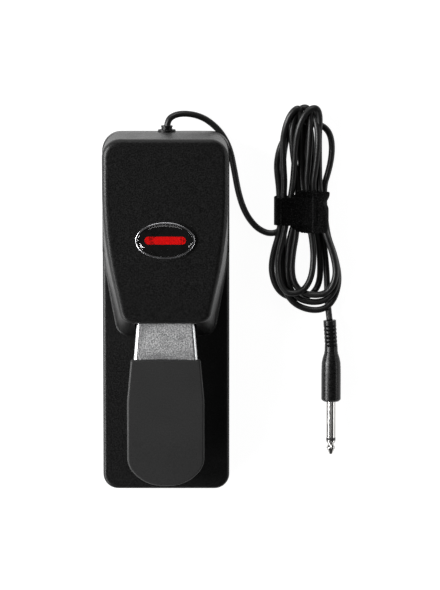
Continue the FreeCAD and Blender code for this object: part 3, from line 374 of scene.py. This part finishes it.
# The lead from the strain relief, round the base's corner, to the hank.
LEAD_ROUTE = [
    (0.6, 119.05, 10.5), (0.6, 126.2, 10.5), (6.0, 130.3, 9.2), (14.6, 130.8, 6.8), (23.6, 128.4, 4.2),
    (31.0, 123.4, 2.4), (37.2, 116.8, 2.0), (42.4, 107.0, 2.0), (45.4, 92.0, 2.0), (48.0, 77.2, 2.0),
    (52.3, 64.4, 2.0), (58.9, 55.2, 2.0), (65.6, 51.0, 2.0), (70.9, 50.3, 2.0)]
UNDER_STRAP = [(75.4, 52.0, 2.4), (77.0, 58.0, 3.2), (75.4, 69.0, 3.4)]
TAIL_ROUTE = [(103.8, 51.0, 2.4), (105.6, 38.0, 2.0), (106.9, 24.0, 2.0), (107.3, 10.0, 2.0),
              (107.8, 2.0, 2.2), (108.3, -3.0, 4.6), (108.8, -7.2, 6.4)]

# The hank, as half turns in winding order: at the strap, where the side bows out, the far end of the
# loop, the other side, and back at the strap. They alternate between the rear and the front.
HALF_TURNS = [
    ((75.0, 81, 3.4), (73.4, 97, 2.0), (93.4, 123.2, 2.0), (110.2, 104, 2.0), (104.2, 81, 3.4)),
    ((106.4, 51, 3.4), (115.3, 21, 3.8), (94.2, -0.4, 5.6), (77.0, 30, 4.6), (78.4, 51, 3.4)),
    ((78.3, 81, 4.4), (77.6, 101, 4.4), (89.4, 126.8, 5.0), (96.2, 101, 2.6), (96.8, 81, 3.0)),
    ((105.6, 51, 9.6), (113.0, 27, 10.4), (97.6, 9.7, 8.8), (83.4, 29, 6.8), (86.6, 51, 7.0)),
    ((88.1, 81, 5.4), (83.0, 116, 8.0), (90.2, 134.6, 7.8), (95.6, 122, 8.4), (92.4, 81, 8.6)),
    ((100.5, 51, 5.4), (102.6, 28, 5.2), (87.4, 6.8, 2.0), (69.8, 28, 2.0), (75.4, 51, 3.6)),
    ((78.8, 81, 7.6), (77.3, 112, 7.4), (85.0, 133.4, 10.8), (88.8, 122, 6.8), (90.2, 81, 5.2)),
    ((96.3, 51, 9.0), (97.9, 36, 9.4), (86.2, 11.2, 11.2), (74.1, 31, 8.4), (78.4, 51, 9.0)),
    ((83.8, 81, 9.6), (85.6, 110, 10.2), (95.9, 134.3, 11.2), (101.2, 118, 7.8), (101.6, 81, 6.6)),
    ((105.4, 51, 6.6), (114.3, 24, 7.2), (96.4, 4.7, 6.6), (80.4, 27, 6.0), (82.6, 51, 6.4)),
    ((93.6, 81, 4.6), (92.4, 124, 3.2), (97.0, 131.4, 5.6), (100.6, 110.5, 11.2), (96.8, 81, 9.4)),
]
STEPS_ROUND = 8  # points from one side of a half turn, round its far end, to the other
FULLNESS = 0.84  # below 1, an end is rounder than a plain half oval's
LEG_SHARE = Vector((0.65, 0.5, 0.5))  # where a leg's own point lies between strap and side


def half_turn(stations):
    """The cord's points along one half turn: a leg, a leaning half oval, and a leg."""
    start, first_side, end, second_side, finish = [Vector(station) for station in stations]
    middle = (first_side + second_side) / 2
    points = [start, start + (first_side - start) * LEG_SHARE]
    for step in range(STEPS_ROUND + 1):
        angle = math.pi * step / STEPS_ROUND
        across = math.copysign(abs(math.cos(angle)) ** FULLNESS, math.cos(angle))
        along = math.sin(angle) ** FULLNESS
        points.append(middle + (first_side - middle) * across + (end - middle) * along)
    points += [finish + (second_side - finish) * LEG_SHARE, finish]
    return points


def make_cord(material):
    """The whole lead as one tube, none of it lower than the floor lets it lie."""
    points = [Vector(point) for point in LEAD_ROUTE + UNDER_STRAP]
    for stations in HALF_TURNS:
        points += half_turn(stations)
    points += [Vector(point) for point in TAIL_ROUTE]

    curve = bpy.data.curves.new("cord", "CURVE")
    curve.dimensions = "3D"
    curve.bevel_depth = CORD_RADIUS * MM
    curve.bevel_resolution = 5
    curve.resolution_u = 7
    curve.use_fill_caps = True
    spline = curve.splines.new("NURBS")
    spline.points.add(len(points) - 1)
    for spot, point in zip(spline.points, points):
        spot.co = (point.x * MM, point.y * MM, max(point.z, CORD_RADIUS) * MM, 1)
    spline.order_u = 3
    spline.use_endpoint_u = True
    curve.materials.append(material)
    cord = bpy.data.objects.new("cord", curve)
    scene.collection.objects.link(cord)
    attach(cord, "base")
    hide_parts("cord_lead", "cord_hank", "cord_tail")
    return cord


# ---------------------------------------------------------------- strap

def mesh_object(name, mesh, material):
    mesh.materials.append(material)
    made = bpy.data.objects.new(name, mesh)
    scene.collection.objects.link(made)
    return made


# The band, from the end of its wide head, over the top to the right, under the hank, up the left side
# and over the top again into the head's slot: x, z, and where its front and rear edges lie in y.
STRAP_STATIONS = [
    (82.6, 12.5, 56.4, 75.4), (85.2, 12.8, 54.0, 77.6), (88.4, 13.0, 52.4, 80.0), (94.0, 13.1, 51.7, 79.9),
    (99.6, 13.1, 51.6, 79.5), (103.6, 12.6, 51.7, 79.2), (106.3, 10.6, 52.3, 79.0), (107.4, 8.0, 55.0, 76.4),
    (107.4, 5.2, 57.4, 72.6), (105.8, 2.4, 57.4, 72.2), (102.4, 1.0, 56.8, 73.8), (90.0, 0.7, 56.6, 75.0),
    (77.4, 0.9, 56.8, 75.6), (73.6, 2.4, 57.0, 75.8), (72.2, 5.0, 56.9, 75.4), (72.1, 8.0, 56.8, 75.2),
    (73.4, 11.4, 56.8, 75.1), (76.6, 13.5, 56.8, 75.2), (82.4, 14.3, 56.8, 75.5), (90.4, 14.5, 56.8, 75.4),
    (96.6, 14.5, 57.0, 74.9), (98.7, 14.1, 57.4, 74.5), (99.4, 13.0, 57.8, 74.0)]
STRAP_STEP = 0.55
STRAP_PILE = 0.16  # how far the pile stands up and down, in mm
STRAP_THICKNESS = 0.8
STRAP_FRAY = 0.28
STRAP_SEED = 7
STRAP_HEAD_WIDTH = 28
WAVE_HEIGHT = 0.22
WAVES_ALONG = 1.4
WAVES_ACROSS = 5
WAVE_SLANT = 0.2
WAVE_EDGE = 8  # the higher, the nearer the edges the waves reach
STRAP_MIDDLE = 7  # above this height the pile faces up
UNDERSIDE_LIFT = -0.25  # how much of the lift is left underneath, so that it stays off the floor
HEAD_END = 103  # x from which the head's end is shaped
HEAD_END_RUN = 3.5
CORNER_FROM = 74  # y from which the rear corner leans out
CORNER_RUN = 5
CORNER_LEAN = 1.5
NOTCH_AT = 71.3  # y of the hollow below the corner
NOTCH_WIDTH = 2.3


def head_corner(x, y):
    """How far the wide head's end leans out to its rear corner, and in below it."""
    near = min(max((x - HEAD_END) / HEAD_END_RUN, 0), 1)
    out = min(max((y - CORNER_FROM) / CORNER_RUN, 0), 1)
    notch = math.exp(-((y - NOTCH_AT) / NOTCH_WIDTH) ** 2)
    return near * CORNER_LEAN * (out - notch)


def between(before, here, after, beyond, share):
    """Catmull-Rom between two stations."""
    made = []
    for a, b, c, d in zip(before, here, after, beyond):
        made.append(b + share * ((c - a) + share * ((2 * a - 5 * b + 4 * c - d)
                                                    + share * (3 * (b - c) + d - a))) / 2)
    return made


def strap_rows():
    """The stations with evenly spaced rows filled in between them."""
    rows = []
    last = len(STRAP_STATIONS) - 1
    for here in range(last):
        four = [STRAP_STATIONS[min(max(here + step, 0), last)] for step in (-1, 0, 1, 2)]
        run = math.dist(four[1][:2], four[2][:2])
        steps = max(2, round(run / STRAP_STEP))
        rows += [between(*four, step / steps) for step in range(steps)]
    rows.append(list(STRAP_STATIONS[-1]))
    return rows


def make_strap(material):
    """The tie as a sheet of small faces, each corner moved by the weave's waves, the pile and the fray."""
    columns = round(STRAP_HEAD_WIDTH / STRAP_STEP)
    mesh = bmesh.new()
    rand = random.Random(STRAP_SEED)
    grid = []
    for x, z, front, rear in strap_rows():
        line = []
        for column in range(columns + 1):
            share = column / columns
            edge = abs(share - 0.5) * 2
            wave = WAVE_HEIGHT * math.sin(x * WAVES_ALONG) * math.cos(share * WAVES_ACROSS + x * WAVE_SLANT)
            frayed = rand.uniform(-STRAP_FRAY, STRAP_FRAY) if column in (0, columns) else 0
            pile = rand.uniform(-STRAP_PILE, STRAP_PILE)
            y = front + (rear - front) * share + frayed
            lift = wave * (1 - edge ** WAVE_EDGE) + pile
            outward = 1 if z > STRAP_MIDDLE else UNDERSIDE_LIFT
            line.append(mesh.verts.new(Vector((x + head_corner(x, y), y, z + lift * outward)) * MM))
        grid.append(line)
    for before, after in zip(grid, grid[1:]):
        for column in range(columns):
            mesh.faces.new((before[column], after[column], after[column + 1], before[column + 1]))
    data = bpy.data.meshes.new("strap")
    mesh.to_mesh(data)
    mesh.free()
    for face in data.polygons:
        face.use_smooth = True
    strap = mesh_object("strap", data, material)
    thick = strap.modifiers.new("thickness", "SOLIDIFY")
    thick.thickness = STRAP_THICKNESS * MM
    thick.offset = 0
    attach(strap, "base")
    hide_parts("cable_strap")
    return strap


# ---------------------------------------------------------------- spring


def make_spring(material):
    """The return spring again, as a piece of its own hung from the base."""
    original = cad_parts["return_spring"]
    spring = bpy.data.objects.new("spring_coil", original.data.copy())
    spring.data.materials.clear()
    spring.data.materials.append(material)
    scene.collection.objects.link(spring)
    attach(spring, "base")
    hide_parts("return_spring")
    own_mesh(spring)


# ---------------------------------------------------------------- stage

FLOOR_SIZE = 8
FLOOR_GLOW = 0.96
FLOOR_BOUNCE = 0.76  # what the floor sends back to the object
ROOM_GLOW = 0.05


def make_floor():
    """White paper, as bright to the camera as a lit backdrop and less so to the object."""
    shader = Shader("floor_paper")
    fibre = shader.noise(2 * MM, 4)
    shader.set("Base Color", shader.blend(fibre, 0.24, 0.27))
    shader.set("Roughness", shader.over_noise(fibre, 0.75, 0.9))
    shader.set("Emission Color", (1, 1, 1, 1))
    seen = shader.node("ShaderNodeLightPath").outputs["Is Camera Ray"]
    shader.set("Emission Strength", shader.spread(seen, 0, 1, FLOOR_BOUNCE, FLOOR_GLOW))
    bpy.ops.mesh.primitive_plane_add(size=FLOOR_SIZE, location=(0, 0, 0))
    floor = bpy.context.object
    floor.name = "floor"
    floor.data.materials.append(shader.material)


# name, place, width and height, power: all low round the sides, so that flat tops stay dark
SOFT_BOXES = [
    ("left", (-1.7, 0.25, 0.95), (1.3, 0.7), 56),
    ("left_front", (-0.75, -0.65, 0.42), (0.45, 0.30), 4),
    ("right", (1.9, 0.1, 0.70), (1.3, 0.5), 5),
    ("rear", (-0.3, 2.1, 0.80), (1.6, 0.6), 7),
]
# the same for boxes that light only some pieces, past the pedal that would shade them
CORD_BOXES = [
    ("cord_left", (-1.35, 0.25, 1.45), (1.0, 0.8), 24),
    ("cord_rear", (0.1, 1.6, 1.0), (1.2, 0.5), 10),
]
BADGE_BOXES = [
    ("badge_rear", (0.0, 1.2, 1.25), (1.3, 0.8), 6),
    ("badge_left", (-0.85, -0.7, 1.1), (0.45, 0.45), 11),
    ("badge_right", (0.9, -0.7, 1.1), (0.4, 0.4), 3),
]
SHAFT_BOXES = [
    ("shaft_left", (-0.30, 0.1, 1.9), (0.66, 1.2), 4),
    ("shaft_right", (0.52, 0.1, 1.9), (0.62, 1.2), 4),
]


def soft_box(name, place, size, power, only=None):
    """A rectangular lamp aimed at the middle of the floor; `only` is a collection that it is kept to."""
    data = bpy.data.lights.new(name, "AREA")
    data.shape = "RECTANGLE"
    data.size, data.size_y = size
    data.energy = power
    lamp = bpy.data.objects.new(name, data)
    lamp.location = place
    lamp.rotation_euler = (-Vector(place)).to_track_quat("-Z", "Y").to_euler()
    lamp.visible_camera = False
    scene.collection.objects.link(lamp)
    if only is not None:
        lamp.light_linking.receiver_collection = only
        lamp.light_linking.blocker_collection = only


def make_light(on_the_floor, shaft):
    """The dim room and every soft box, with some of them kept to the pieces handed over and the badge."""
    scene.view_settings.view_transform = "Standard"
    world = bpy.data.worlds.new("room")
    world.use_nodes = True
    world.node_tree.nodes["Background"].inputs["Color"].default_value = (1, 1, 1, 1)
    world.node_tree.nodes["Background"].inputs["Strength"].default_value = ROOM_GLOW
    scene.world = world
    for settings in SOFT_BOXES:
        soft_box(*settings)
    badge = nodes("badge_dome", "badge_plate", "badge_mark", "badge_bezel")
    for boxes, pieces in ((CORD_BOXES, on_the_floor), (SHAFT_BOXES, shaft), (BADGE_BOXES, badge)):
        group = bpy.data.collections.new(boxes[0][0])
        for piece in pieces:
            group.objects.link(piece)
        for settings in boxes:
            soft_box(*settings, only=group)


# ---------------------------------------------------------------- all together

make_camera()
materials = make_materials()
dress_frame(materials)
cord = make_cord(materials["cord_rubber"])
strap = make_strap(materials["strap_fabric"])
make_spring(materials["spring_steel"])
make_floor()

handle, relief = nodes("plug_handle", "strain_relief")
shaft = nodes("plug_sleeve", "plug_insulator", "plug_tip")
make_light([cord, handle] + shaft, shaft)
